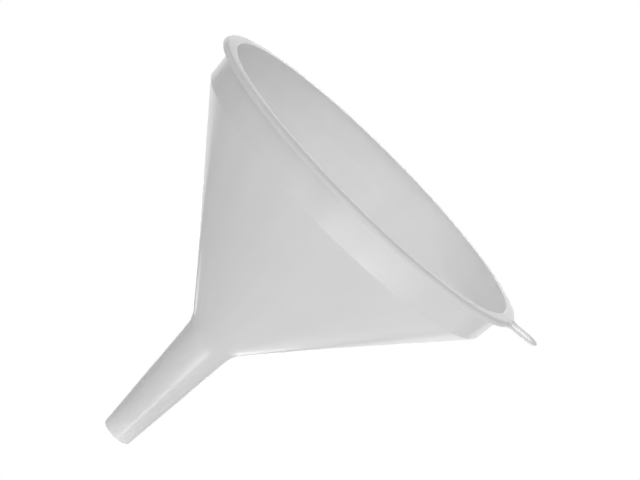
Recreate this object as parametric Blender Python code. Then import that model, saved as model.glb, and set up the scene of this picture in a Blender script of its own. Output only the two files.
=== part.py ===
"""Plastic funnel with a flat flanged rim, a short collar, a straight cone, a tapered stem and a
loop on the rim to hang it by.

The real funnel is one moulding. Here each region of it is a solid of its own, and neighbours keep a
hairline gap. Metres, +Z up along the funnel's axis. The origin is on the axis, inside the circle
where the cone rests on a bottle's neck.
"""

import math

import bmesh
import bpy
from mathutils import Matrix, Vector

# Driving dimensions, in metres
RIM_DIAMETER = 0.2500
RIM_THICKNESS = 0.0035
RIM_FOOT = 0.0015
COLLAR_TOP_DIAMETER = 0.2362
CREASE_DIAMETER = 0.2322
NECK_DIAMETER = 0.0359
TIP_DIAMETER = 0.0210
SEAT_DIAMETER = 0.0500
COLLAR_DEPTH = 0.0236
CONE_DEPTH = 0.1220
STEM_LENGTH = 0.0914
WALL = 0.0022
LOOP_REACH = 0.0196
LOOP_SPACING = 0.0180
LOOP_STRAND = 0.0020
LOOP_RISE = math.radians(7)

# Rounded corners
RIM_ROUND = 0.0029
RIM_UNDER_ROUND = 0.0004
RIM_ROOT_ROUND = 0.0010
MOUTH_ROUND = 0.0006
CREASE_ROUND = 0.0005
INNER_CREASE_ROUND = 0.0200
NECK_ROUND = 0.0220
TIP_ROUND = 0.0004

# How finely round shapes are divided
AROUND = 96
ARC_STEP = math.radians(22.5)
FEWEST_ARC_STEPS = 3
LOOP_STEPS = 16
STRAND_ROUND = 2
SHARP_ANGLE = math.radians(30)

GAP = 0.0003
HAIR = 1e-6
PLASTIC_IOR = 1.49

# Heights worked out from the dimensions
CONE_SLOPE = (CREASE_DIAMETER - NECK_DIAMETER) / 2 / CONE_DEPTH
NECK_Z = (NECK_DIAMETER - SEAT_DIAMETER) / 2 / CONE_SLOPE
CREASE_Z = NECK_Z + CONE_DEPTH
MOUTH_Z = CREASE_Z + COLLAR_DEPTH
UNDER_RIM_Z = MOUTH_Z - RIM_THICKNESS
TIP_Z = NECK_Z - STEM_LENGTH
LOOP_Z = MOUTH_Z - RIM_THICKNESS / 2
NECK_HALF_HEIGHT = 0.0090


def outer_lines():
    """The straight lines of the outside, as (radius, height) points from the rim down to the tip."""
    return [
        Vector((COLLAR_TOP_DIAMETER / 2, UNDER_RIM_Z)),
        Vector((CREASE_DIAMETER / 2, CREASE_Z)),
        Vector((NECK_DIAMETER / 2, NECK_Z)),
        Vector((TIP_DIAMETER / 2, TIP_Z)),
    ]


def inset(lines, wall):
    """Falling lines moved one wall's thickness inwards, with their two ends kept at their heights."""
    runs = [(low - high).normalized() for high, low in zip(lines, lines[1:])]
    inward = [Vector((run.y, -run.x)) for run in runs]
    moved = [lines[0] + Vector((wall / inward[0].x, 0))]
    for point, above, below in zip(lines[1:], inward, inward[1:]):
        moved.append(point + (above + below) * wall / (1 + above.dot(below)))
    moved.append(lines[-1] + Vector((wall / inward[-1].x, 0)))
    return moved


def arc(before, corner, after, radius):
    """The round of a corner between two straight runs, as points from the first run to the second."""
    back = (before - corner).normalized()
    ahead = (after - corner).normalized()
    turn = math.pi - back.angle(ahead)
    centre = corner + (back + ahead).normalized() * radius / math.cos(turn / 2)
    start = corner + back * radius * math.tan(turn / 2) - centre
    way = 1 if back.cross(ahead) < 0 else -1
    steps = max(FEWEST_ARC_STEPS, math.ceil(turn / ARC_STEP))
    return [centre + Matrix.Rotation(way * turn * i / steps, 2) @ start for i in range(steps + 1)]


def rounded(points, radii):
    """The outline with an arc at each inner corner, one radius for each."""
    outline = [points[0]]
    for before, corner, after, radius in zip(points, points[1:], points[2:], radii):
        outline += arc(before, corner, after, radius)
    return outline + [points[-1]]


def outside():
    """The moulding's outer outline, from the middle of the rim's top face to the tip's end face."""
    lines = outer_lines()
    corners = [
        Vector((COLLAR_TOP_DIAMETER / 2, MOUTH_Z)),
        Vector((RIM_DIAMETER / 2, MOUTH_Z)),
        Vector((RIM_DIAMETER / 2, UNDER_RIM_Z)),
        *lines,
        lines[-1] - Vector((WALL / 2, 0)),
    ]
    rounds = [RIM_ROUND, RIM_UNDER_ROUND, RIM_ROOT_ROUND, CREASE_ROUND, NECK_ROUND, TIP_ROUND]
    return rounded(corners, rounds)


def inside():
    """The moulding's inner outline, from the rim's top face down the bore to the tip's end face."""
    lines = inset(outer_lines(), WALL)
    run = (lines[0] - lines[1]).normalized()
    mouth = lines[0] + run * RIM_THICKNESS / run.y
    corners = [
        mouth + Vector((WALL / 2, 0)),
        mouth,
        *lines[1:],
        lines[-1] + Vector((WALL / 2, 0)),
    ]
    return rounded(corners, [MOUTH_ROUND, INNER_CREASE_ROUND, NECK_ROUND, TIP_ROUND])


def stretch(outline, top, bottom):
    """The part of a falling outline between two heights, cut level where it passes them."""
    points = [outline[0]]
    for high, low in zip(outline, outline[1:]):
        for height in (top, bottom):
            if low.y < height < high.y:
                points.append(high.lerp(low, (high.y - height) / (high.y - low.y)))
        points.append(low)
    return [point for point in points if bottom - HAIR <= point.y <= top + HAIR]


def plastic(name, grey, roughness):
    """Milky plastic of one grey, in a material of its own."""
    material = bpy.data.materials.new(name)
    material.use_nodes = True
    shader = material.node_tree.nodes["Principled BSDF"]
    shader.inputs["Base Color"].default_value = (grey, grey, grey, 1)
    shader.inputs["Roughness"].default_value = roughness
    shader.inputs["Metallic"].default_value = 0
    shader.inputs["IOR"].default_value = PLASTIC_IOR
    return material


def finished(name, shape, material, parent):
    """An object from a bmesh, with its faces turned out and its round sides shaded smooth."""
    bmesh.ops.recalc_face_normals(shape, faces=shape.faces)
    mesh = bpy.data.meshes.new(name)
    shape.to_mesh(mesh)
    shape.free()
    mesh.shade_smooth()
    mesh.set_sharp_from_angle(angle=SHARP_ANGLE)
    mesh.materials.append(material)
    part = bpy.data.objects.new(name, mesh)
    part.parent = parent
    bpy.context.collection.objects.link(part)
    return part


def band(name, top, bottom, material, parent):
    """The stretch of the moulding's wall between two heights, turned about the axis."""
    outline = stretch(outside(), top, bottom) + stretch(inside(), top, bottom)[::-1]
    shape = bmesh.new()
    corners = [shape.verts.new((point.x, 0, point.y)) for point in outline]
    sides = [shape.edges.new(pair) for pair in zip(corners, corners[1:] + corners[:1])]
    bmesh.ops.spin(
        shape,
        geom=corners + sides,
        axis=(0, 0, 1),
        angle=math.tau,
        steps=AROUND,
        use_merge=True,
    )
    return finished(name, shape, material, parent)


def loop_path():
    """The middle of the loop's strand: two straight legs off the rim's edge and a half circle."""
    bend = LOOP_SPACING / 2
    root = math.sqrt((RIM_DIAMETER / 2 + GAP) ** 2 - (bend - LOOP_STRAND / 2) ** 2) - RIM_DIAMETER / 2
    leg = LOOP_REACH - LOOP_STRAND / 2 - bend
    points = [Vector((root, -bend, 0))]
    for step in range(LOOP_STEPS + 1):
        turn = math.pi * step / LOOP_STEPS - math.pi / 2
        points.append(Vector((leg + bend * math.cos(turn), bend * math.sin(turn), 0)))
    return points + [Vector((root, bend, 0))]


def hanging_loop(material, parent):
    """A round strand bent into a loop on the rim's edge, rising a little away from it."""
    curve = bpy.data.curves.new("hanging_loop", "CURVE")
    curve.dimensions = "3D"
    curve.bevel_depth = LOOP_STRAND / 2
    curve.bevel_resolution = STRAND_ROUND
    curve.use_fill_caps = True
    curve.materials.append(material)
    path = loop_path()
    strand = curve.splines.new("POLY")
    strand.points.add(len(path) - 1)
    for place, point in zip(strand.points, path):
        place.co = (*point, 1)
    strand.use_smooth = True
    loop = bpy.data.objects.new("hanging_loop", curve)
    loop.parent = parent
    loop.location = (RIM_DIAMETER / 2, 0, LOOP_Z)
    loop.rotation_euler = (0, -LOOP_RISE, 0)
    bpy.context.collection.objects.link(loop)
    return loop


def build():
    for leftover in list(bpy.data.objects):
        bpy.data.objects.remove(leftover)
    funnel = bpy.data.objects.new("funnel", None)
    bpy.context.collection.objects.link(funnel)
    rim_foot = UNDER_RIM_Z - RIM_FOOT
    neck_top = NECK_Z + NECK_HALF_HEIGHT
    neck_bottom = NECK_Z - NECK_HALF_HEIGHT
    band("rim_flange", MOUTH_Z, rim_foot, plastic("rim_plastic", 0.78, 0.30), funnel)
    band("collar", rim_foot - GAP, CREASE_Z, plastic("collar_plastic", 0.68, 0.30), funnel)
    band("cone_bowl", CREASE_Z - GAP, neck_top, plastic("bowl_plastic", 0.70, 0.32), funnel)
    band("neck", neck_top - GAP, neck_bottom, plastic("neck_plastic", 0.68, 0.32), funnel)
    band("stem", neck_bottom - GAP, TIP_Z, plastic("stem_plastic", 0.70, 0.28), funnel)
    hanging_loop(plastic("loop_plastic", 0.66, 0.35), funnel)


build()
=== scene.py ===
"""Looks for the plastic funnel: milky, softly glossy moulded plastic on a white studio sweep.

Each CAD region of the moulding is replaced by a finely turned piece. The pieces share one section
and meet exactly, so together they show one unbroken skin.
"""

import math

import bmesh
import bpy
from mathutils import Matrix, Vector


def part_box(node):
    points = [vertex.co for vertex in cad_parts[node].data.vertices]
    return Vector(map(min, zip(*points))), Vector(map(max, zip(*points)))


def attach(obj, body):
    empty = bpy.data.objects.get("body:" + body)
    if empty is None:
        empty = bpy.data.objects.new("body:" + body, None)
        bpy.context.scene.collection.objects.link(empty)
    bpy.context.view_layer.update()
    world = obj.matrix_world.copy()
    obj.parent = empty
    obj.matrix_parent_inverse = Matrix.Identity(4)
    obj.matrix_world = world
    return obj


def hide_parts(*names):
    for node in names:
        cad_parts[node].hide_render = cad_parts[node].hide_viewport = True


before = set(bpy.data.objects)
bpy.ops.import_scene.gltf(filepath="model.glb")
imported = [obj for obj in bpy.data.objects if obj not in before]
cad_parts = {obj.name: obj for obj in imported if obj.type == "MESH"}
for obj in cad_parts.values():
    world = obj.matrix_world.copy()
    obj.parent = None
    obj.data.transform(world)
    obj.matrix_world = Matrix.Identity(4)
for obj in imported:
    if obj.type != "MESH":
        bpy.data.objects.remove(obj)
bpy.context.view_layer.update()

# The moulding, in metres
WALL = 0.0022
RIM_THICKNESS = 0.0035
RIM_ROUND = 0.0029
RIM_UNDER_ROUND = 0.0004
RIM_ROOT_ROUND = 0.0010
MOUTH_ROUND = 0.0006
CREASE_ROUND = 0.0005
INNER_CREASE_ROUND = 0.0200
NECK_ROUND = 0.0220
TIP_ROUND = 0.0004

# How far below the outer crease the collar's piece ends, so that the crease's round is all in it
SEAM_DROP = 0.0020

# The hanging loop
LOOP_SPACING = 0.0180
LOOP_STRAND = 0.0020
LOOP_RISE = math.radians(7)
LOOP_ROOT_DEPTH = 0.0014
LOOP_ROOT_WIDTH = 0.0030
LOOP_ROOT_LENGTH = 0.0030

# How finely round shapes are divided
AROUND = 288
ARC_STEP = math.radians(6)
FEWEST_ARC_STEPS = 4
ROW_HEIGHT = 0.006
LEG_STEPS = 16
BEND_STEPS = 48
STRAND_SIDES = 24
SHARP_ANGLE = math.radians(40)
HAIR = 1e-5

# The camera looks a little down into the mouth and is rolled over to one side
CAMERA_AIM = Vector((0.0045, -0.0103, 0.0862))
CAMERA_DISTANCE = 1.117
CAMERA_TURN = math.radians(8.4)
CAMERA_TILT = math.radians(11.47)
CAMERA_ROLL = math.radians(45.14)
CAMERA_LENS = 101.25
CAMERA_SENSOR = 36

# The studio. Each softbox has its turn from the camera's side and its lift in degrees, its width
# and height in metres, and its radiance
FLOOR_DROP = 1.2
SWEEP_RADIUS = 8.0
SWEEP_SEGMENTS = 96
SWEEP_RINGS = 48
ROOM_LIGHT = 0.51
LIGHT_AIM = Vector((0, 0, 0.05))
LIGHT_DISTANCE = 1.5
SOFTBOXES = {
    "key": (28, -21, 1.60, 0.50, 2.7),
    "key_core": (34, -27, 0.45, 0.40, 5.8),
    "key_left": (10, -25, 0.50, 0.30, 1.4),
    "back": (180, -8, 0.60, 0.75, 5.2),
    "back_left": (-155, -12, 0.65, 0.80, 1.0),
    "back_right": (155, -12, 0.65, 0.80, 1.0),
    "back_low": (180, -50, 1.20, 0.80, 3.5),
    "side_low": (150, -42, 0.50, 0.50, 0.7),
    "back_rim": (180, 9, 1.80, 0.14, 1.2),
    "back_top": (180, 26, 1.20, 0.90, 0.5),
    "right": (105, -25, 0.70, 1.00, 0.4),
    "strip": (64, -12, 0.12, 1.00, 1.9),
    "fill": (-60, 22, 0.90, 0.90, 1.0),
    "front": (10, 35, 1.20, 0.80, 0.55),
}

# Milky moulded plastic. Scales are per metre, heights in metres
PLASTIC_GREY = 0.86
PLASTIC_TRANSLUCENCY = 0.5
PLASTIC_IOR = 1.49
NOISE_LOW = 0.3
NOISE_HIGH = 0.7
CLOUD_SCALE = 16
CLOUD_DETAIL = 3
CLOUD_TINT = 0.008
FLOW_SCALE = 7
FLOW_DETAIL = 4
FLOW_DRIFT = 2.5
FLOW_TINT = 0.008
FLOW_ROUGHNESS = (0.15, 0.22)
GRAIN_SCALE = 900
GRAIN_DETAIL = 2
GRAIN_TINT = 0.006
GRAIN_ROUGHNESS = 0.02
GRAIN_HEIGHT = 0.000004
WAVE_SCALE = 45
WAVE_DETAIL = 2
WAVE_HEIGHT = 0.00012


# ---- The section of the moulding ----


def outer_radius(node, height):
    """The outer radius of a turned CAD node at its top or bottom level."""
    points = [vertex.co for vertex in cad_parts[node].data.vertices]
    return max(point.xy.length for point in points if abs(point.z - height) < HAIR)


def outer_lines():
    """The straight lines of the outside, as (radius, height) points from the rim down to the tip."""
    collar_low, collar_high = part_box("collar")
    cone_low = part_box("cone_bowl")[0]
    neck_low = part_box("neck")[0]
    stem_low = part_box("stem")[0]
    crease = Vector((outer_radius("collar", collar_low.z), collar_low.z))
    collar_slope = (outer_radius("collar", collar_high.z) - crease.x) / (collar_high.z - crease.y)
    under_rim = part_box("rim_flange")[1].z - RIM_THICKNESS
    root = Vector((crease.x + collar_slope * (under_rim - crease.y), under_rim))
    cone_slope = (crease.x - outer_radius("cone_bowl", cone_low.z)) / (crease.y - cone_low.z)
    neck_height = (cone_low.z + neck_low.z) / 2
    neck = Vector((crease.x + cone_slope * (neck_height - crease.y), neck_height))
    tip = Vector((outer_radius("stem", stem_low.z) + TIP_ROUND, stem_low.z))
    return [root, crease, neck, tip]


def inset(lines, wall):
    """Falling lines moved one wall's thickness inwards, with their two ends kept at their heights."""
    runs = [(low - high).normalized() for high, low in zip(lines, lines[1:])]
    inward = [Vector((run.y, -run.x)) for run in runs]
    moved = [lines[0] + Vector((wall / inward[0].x, 0))]
    for point, above, below in zip(lines[1:], inward, inward[1:]):
        moved.append(point + (above + below) * wall / (1 + above.dot(below)))
    moved.append(lines[-1] + Vector((wall / inward[-1].x, 0)))
    return moved


def arc(before, corner, after, radius):
    """The round of a corner between two straight runs, as points from the first run to the second."""
    back = (before - corner).normalized()
    ahead = (after - corner).normalized()
    turn = math.pi - back.angle(ahead)
    centre = corner + (back + ahead).normalized() * radius / math.cos(turn / 2)
    start = corner + back * radius * math.tan(turn / 2) - centre
    way = 1 if back.cross(ahead) < 0 else -1
    steps = max(FEWEST_ARC_STEPS, math.ceil(turn / ARC_STEP))
    return [centre + Matrix.Rotation(way * turn * i / steps, 2) @ start for i in range(steps + 1)]


def rounded(points, radii):
    """The outline with an arc at each inner corner, one radius for each."""
    outline = [points[0]]
    for before, corner, after, radius in zip(points, points[1:], points[2:], radii):
        outline += arc(before, corner, after, radius)
    return outline + [points[-1]]


def outside(lines):
    """The moulding's outer outline, from the middle of the rim's top face to the tip's end face."""
    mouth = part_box("rim_flange")[1]
    corners = [
        Vector((lines[0].x, mouth.z)),
        Vector((mouth.y, mouth.z)),
        Vector((mouth.y, mouth.z - RIM_THICKNESS)),
        *lines,
        lines[-1] - Vector((WALL / 2, 0)),
    ]
    rounds = [RIM_ROUND, RIM_UNDER_ROUND, RIM_ROOT_ROUND, CREASE_ROUND, NECK_ROUND, TIP_ROUND]
    return rounded(corners, rounds)


def inside(lines):
    """The moulding's inner outline, from the rim's top face down the bore to the tip's end face."""
    lines = inset(lines, WALL)
    run = (lines[0] - lines[1]).normalized()
    mouth = lines[0] + run * RIM_THICKNESS / run.y
    corners = [
        mouth + Vector((WALL / 2, 0)),
        mouth,
        *lines[1:],
        lines[-1] + Vector((WALL / 2, 0)),
    ]
    return rounded(corners, [MOUTH_ROUND, INNER_CREASE_ROUND, NECK_ROUND, TIP_ROUND])


def stretch(outline, top, bottom):
    """The part of a falling outline between two heights, cut level there and divided into rows."""
    points = [outline[0]]
    for high, low in zip(outline, outline[1:]):
        fall = high.y - low.y
        cuts = [(high.y - height) / fall for height in (top, bottom) if low.y < height < high.y]
        rows = math.ceil(fall / ROW_HEIGHT)
        cuts += [row / rows for row in range(1, rows)]
        points += [high.lerp(low, cut) for cut in sorted(cuts)] + [low]
    return [point for point in points if bottom - HAIR <= point.y <= top + HAIR]


# ---- Pieces ----


def piece(name, shape, node, materials):
    """A shown object from a bmesh, in place of a CAD node."""
    bmesh.ops.recalc_face_normals(shape, faces=shape.faces)
    mesh = bpy.data.meshes.new(name)
    shape.to_mesh(mesh)
    shape.free()
    for material in materials:
        mesh.materials.append(material)
    mesh.shade_smooth()
    mesh.set_sharp_from_angle(angle=SHARP_ANGLE)
    made = bpy.data.objects.new(name, mesh)
    bpy.context.scene.collection.objects.link(made)
    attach(made, "root")
    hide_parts(node)
    return made


def band(name, node, lines, top, bottom, materials):
    """The moulding's wall between two heights, turned about the axis.

    The level caps where it meets its neighbours get the second material.
    """
    outline = stretch(outside(lines), top, bottom) + stretch(inside(lines), top, bottom)[::-1]
    shape = bmesh.new()
    corners = [shape.verts.new((point.x, 0, point.y)) for point in outline]
    sides = [shape.edges.new(pair) for pair in zip(corners, corners[1:] + corners[:1])]
    bmesh.ops.spin(
        shape,
        geom=corners + sides,
        axis=(0, 0, 1),
        angle=math.tau,
        steps=AROUND,
        use_merge=True,
    )
    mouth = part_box("rim_flange")[1].z
    shown = (mouth, mouth - RIM_THICKNESS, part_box("stem")[0].z)
    for face in shape.faces:
        heights = [corner.co.z for corner in face.verts]
        level = max(heights) - min(heights) < HAIR
        if level and all(abs(heights[0] - height) > HAIR for height in shown):
            face.material_index = 1
    return piece(name, shape, node, materials)


def loop_path(reach):
    """Points along the middle of the strand: out along one leg, round the bend and back."""
    bend = LOOP_SPACING / 2
    leg = reach - LOOP_STRAND / 2 - bend
    places = [-LOOP_ROOT_DEPTH + (leg + LOOP_ROOT_DEPTH) * i / LEG_STEPS for i in range(LEG_STEPS)]
    turns = [math.pi * i / BEND_STEPS - math.pi / 2 for i in range(BEND_STEPS + 1)]
    out = [Vector((place, -bend, 0)) for place in places]
    half_circle = [Vector((leg + bend * math.cos(turn), bend * math.sin(turn), 0)) for turn in turns]
    back = [Vector((place, bend, 0)) for place in reversed(places)]
    return out + half_circle + back


def loop(materials):
    """The moulded strand, widening into the rim's edge at both ends."""
    rim_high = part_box("rim_flange")[1]
    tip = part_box("hanging_loop")[1].x
    reach = (tip - rim_high.y - LOOP_STRAND / 2) / math.cos(LOOP_RISE) + LOOP_STRAND / 2
    edge = Matrix.Translation((rim_high.y, 0, rim_high.z - RIM_THICKNESS / 2))
    place = edge @ Matrix.Rotation(-LOOP_RISE, 4, "Y")
    path = loop_path(reach)
    shape = bmesh.new()
    rings = []
    for i, point in enumerate(path):
        ahead = path[min(i + 1, len(path) - 1)] - path[max(i - 1, 0)]
        side = Vector((0, 0, 1)).cross(ahead.normalized())
        near = max(0, 1 - point.x / LOOP_ROOT_LENGTH) if point.x > 0 else 1
        radius = LOOP_STRAND / 2 + (LOOP_ROOT_WIDTH - LOOP_STRAND) / 2 * near**2
        ring = []
        for step in range(STRAND_SIDES):
            turn = math.tau * step / STRAND_SIDES
            spot = point + side * radius * math.cos(turn) + Vector((0, 0, 1)) * radius * math.sin(turn)
            ring.append(shape.verts.new(place @ spot))
        rings.append(ring)
    for ring, following in zip(rings, rings[1:]):
        for i in range(STRAND_SIDES):
            j = (i + 1) % STRAND_SIDES
            shape.faces.new((ring[i], ring[j], following[j], following[i]))
    shape.faces.new(rings[0])
    shape.faces.new(rings[-1])
    return piece("loop_moulding", shape, "hanging_loop", materials)


# ---- Materials ----


def add_node(tree, kind, **settings):
    """A shader node with its properties, and its sockets by name, set."""
    node = tree.nodes.new(kind)
    for name, value in settings.items():
        if hasattr(node, name):
            setattr(node, name, value)
        else:
            node.inputs[name.replace("_", " ")].default_value = value
    return node


def noise(tree, place, scale, detail):
    """The level of a soft noise, about 0.5 on average, read at a place."""
    texture = add_node(tree, "ShaderNodeTexNoise", Scale=scale, Detail=detail)
    tree.links.new(place, texture.inputs["Vector"])
    return texture.outputs["Fac"]


def between(tree, level, low, high):
    """A noise level spread from low to high."""
    spread = add_node(tree, "ShaderNodeMapRange")
    spread.inputs["From Min"].default_value = NOISE_LOW
    spread.inputs["From Max"].default_value = NOISE_HIGH
    spread.inputs["To Min"].default_value = low
    spread.inputs["To Max"].default_value = high
    tree.links.new(level, spread.inputs["Value"])
    return spread.outputs["Result"]


def added(tree, first, second):
    """The sum of two levels. The second may be a plain number."""
    both = add_node(tree, "ShaderNodeMath", operation="ADD")
    tree.links.new(first, both.inputs[0])
    if isinstance(second, float):
        both.inputs[1].default_value = second
    else:
        tree.links.new(second, both.inputs[1])
    return both.outputs["Value"]


def flow_place(tree, place):
    """A place that changes round the axis and hardly along it, so that noise there runs in streaks."""
    around = add_node(tree, "ShaderNodeVectorMath", operation="MULTIPLY")
    around.inputs[1].default_value = (1, 1, 0)
    unit = add_node(tree, "ShaderNodeVectorMath", operation="NORMALIZE")
    along = add_node(tree, "ShaderNodeVectorMath", operation="MULTIPLY_ADD")
    along.inputs[1].default_value = (0, 0, FLOW_DRIFT)
    tree.links.new(place, around.inputs[0])
    tree.links.new(around.outputs["Vector"], unit.inputs[0])
    tree.links.new(place, along.inputs[0])
    tree.links.new(unit.outputs["Vector"], along.inputs[2])
    return along.outputs["Vector"]


def moulded_plastic():
    """Milky polypropylene: half the light goes on through each face, under a soft gloss."""
    material = bpy.data.materials.new("moulded_plastic")
    material.use_nodes = True
    tree = material.node_tree
    surface = tree.nodes["Principled BSDF"]
    surface.inputs["IOR"].default_value = PLASTIC_IOR
    through = add_node(tree, "ShaderNodeBsdfTranslucent")
    mix = add_node(tree, "ShaderNodeMixShader")
    mix.inputs["Fac"].default_value = PLASTIC_TRANSLUCENCY
    place = add_node(tree, "ShaderNodeTexCoord").outputs["Object"]

    clouds = noise(tree, place, CLOUD_SCALE, CLOUD_DETAIL)
    streaks = noise(tree, flow_place(tree, place), FLOW_SCALE, FLOW_DETAIL)
    grain = noise(tree, place, GRAIN_SCALE, GRAIN_DETAIL)
    shade = between(tree, clouds, -CLOUD_TINT, CLOUD_TINT)
    shade = added(tree, shade, between(tree, streaks, -FLOW_TINT, FLOW_TINT))
    shade = added(tree, shade, between(tree, grain, -GRAIN_TINT, GRAIN_TINT))
    grey = added(tree, shade, PLASTIC_GREY)
    colour = add_node(tree, "ShaderNodeCombineColor")
    for channel in ("Red", "Green", "Blue"):
        tree.links.new(grey, colour.inputs[channel])
    roughness = between(tree, streaks, *FLOW_ROUGHNESS)
    roughness = added(tree, roughness, between(tree, grain, -GRAIN_ROUGHNESS, GRAIN_ROUGHNESS))
    waves = add_node(tree, "ShaderNodeBump", Strength=1.0, Distance=WAVE_HEIGHT)
    tree.links.new(noise(tree, place, WAVE_SCALE, WAVE_DETAIL), waves.inputs["Height"])
    pores = add_node(tree, "ShaderNodeBump", Strength=1.0, Distance=GRAIN_HEIGHT)
    tree.links.new(grain, pores.inputs["Height"])
    tree.links.new(waves.outputs["Normal"], pores.inputs["Normal"])

    tree.links.new(colour.outputs["Color"], surface.inputs["Base Color"])
    tree.links.new(colour.outputs["Color"], through.inputs["Color"])
    tree.links.new(roughness, surface.inputs["Roughness"])
    tree.links.new(pores.outputs["Normal"], surface.inputs["Normal"])
    tree.links.new(surface.outputs["BSDF"], mix.inputs[1])
    tree.links.new(through.outputs["BSDF"], mix.inputs[2])
    tree.links.new(mix.outputs["Shader"], tree.nodes["Material Output"].inputs["Surface"])
    return material


def plain_material(name, shader, **settings):
    """A material of one shader, with its sockets set."""
    material = bpy.data.materials.new(name)
    material.use_nodes = True
    tree = material.node_tree
    tree.nodes.remove(tree.nodes["Principled BSDF"])
    made = add_node(tree, shader, **settings)
    tree.links.new(made.outputs[0], tree.nodes["Material Output"].inputs["Surface"])
    return material


# ---- Studio ----


def add_camera():
    """The camera, at the place and angle set above."""
    data = bpy.data.cameras.new("camera")
    data.lens = CAMERA_LENS
    data.sensor_width = CAMERA_SENSOR
    made = bpy.data.objects.new("camera", data)
    made.matrix_world = (
        Matrix.Rotation(CAMERA_TURN, 4, "Z")
        @ Matrix.Translation(CAMERA_AIM)
        @ Matrix.Rotation(math.pi / 2 - CAMERA_TILT, 4, "X")
        @ Matrix.Rotation(CAMERA_ROLL, 4, "Z")
        @ Matrix.Translation((0, 0, CAMERA_DISTANCE))
    )
    bpy.context.scene.collection.objects.link(made)
    bpy.context.scene.camera = made


def studio_place(turn, lift):
    """A place facing the funnel, at a turn from the camera's side and a lift, both in degrees."""
    return (
        Matrix.Translation(LIGHT_AIM)
        @ Matrix.Rotation(CAMERA_TURN + math.radians(turn), 4, "Z")
        @ Matrix.Rotation(math.pi / 2 - math.radians(lift), 4, "X")
        @ Matrix.Translation((0, 0, LIGHT_DISTANCE))
    )


def add_softbox(name, turn, lift, width, height, radiance):
    """A rectangular light facing the funnel, unseen by the camera."""
    data = bpy.data.lights.new(name, "AREA")
    data.shape = "RECTANGLE"
    data.size = width
    data.size_y = height
    data.energy = radiance * math.pi * width * height
    made = bpy.data.objects.new(name, data)
    made.visible_camera = False
    made.matrix_world = studio_place(turn, lift)
    bpy.context.scene.collection.objects.link(made)


def add_floor():
    """A white sweep: a level floor that rises into a dome, seen only by the camera."""
    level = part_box("stem")[0].z - FLOOR_DROP
    shape = bmesh.new()
    bmesh.ops.create_uvsphere(shape, u_segments=SWEEP_SEGMENTS, v_segments=SWEEP_RINGS, radius=SWEEP_RADIUS)
    for corner in shape.verts:
        corner.co.z = max(corner.co.z, level)
    mesh = bpy.data.meshes.new("floor")
    shape.to_mesh(mesh)
    shape.free()
    mesh.materials.append(plain_material("floor_white", "ShaderNodeEmission", Strength=1.0))
    floor = bpy.data.objects.new("floor", mesh)
    for ray in ("diffuse", "glossy", "transmission", "volume_scatter", "shadow"):
        setattr(floor, f"visible_{ray}", False)
    bpy.context.scene.collection.objects.link(floor)


def add_studio():
    """Even light from the room, the sweep and the softboxes."""
    world = bpy.data.worlds.new("studio")
    world.use_nodes = True
    room = world.node_tree.nodes["Background"]
    room.inputs["Color"].default_value = (1, 1, 1, 1)
    room.inputs["Strength"].default_value = ROOM_LIGHT
    bpy.context.scene.world = world
    bpy.context.scene.view_settings.view_transform = "Standard"
    add_floor()
    for name, place in SOFTBOXES.items():
        add_softbox(name, *place)


def build():
    """The six shown pieces, from the rim down to the stem, and the loop."""
    materials = [moulded_plastic(), plain_material("unseen_joint", "ShaderNodeBsdfTransparent")]
    lines = outer_lines()
    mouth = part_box("rim_flange")[1].z
    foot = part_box("rim_flange")[0].z
    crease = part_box("collar")[0].z - SEAM_DROP
    neck_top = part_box("cone_bowl")[0].z
    neck_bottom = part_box("neck")[0].z
    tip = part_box("stem")[0].z
    band("rim_moulding", "rim_flange", lines, mouth, foot, materials)
    band("collar_moulding", "collar", lines, foot, crease, materials)
    band("cone_moulding", "cone_bowl", lines, crease, neck_top, materials)
    band("neck_moulding", "neck", lines, neck_top, neck_bottom, materials)
    band("stem_moulding", "stem", lines, neck_bottom, tip, materials)
    loop(materials[:1])


build()
add_camera()
add_studio()
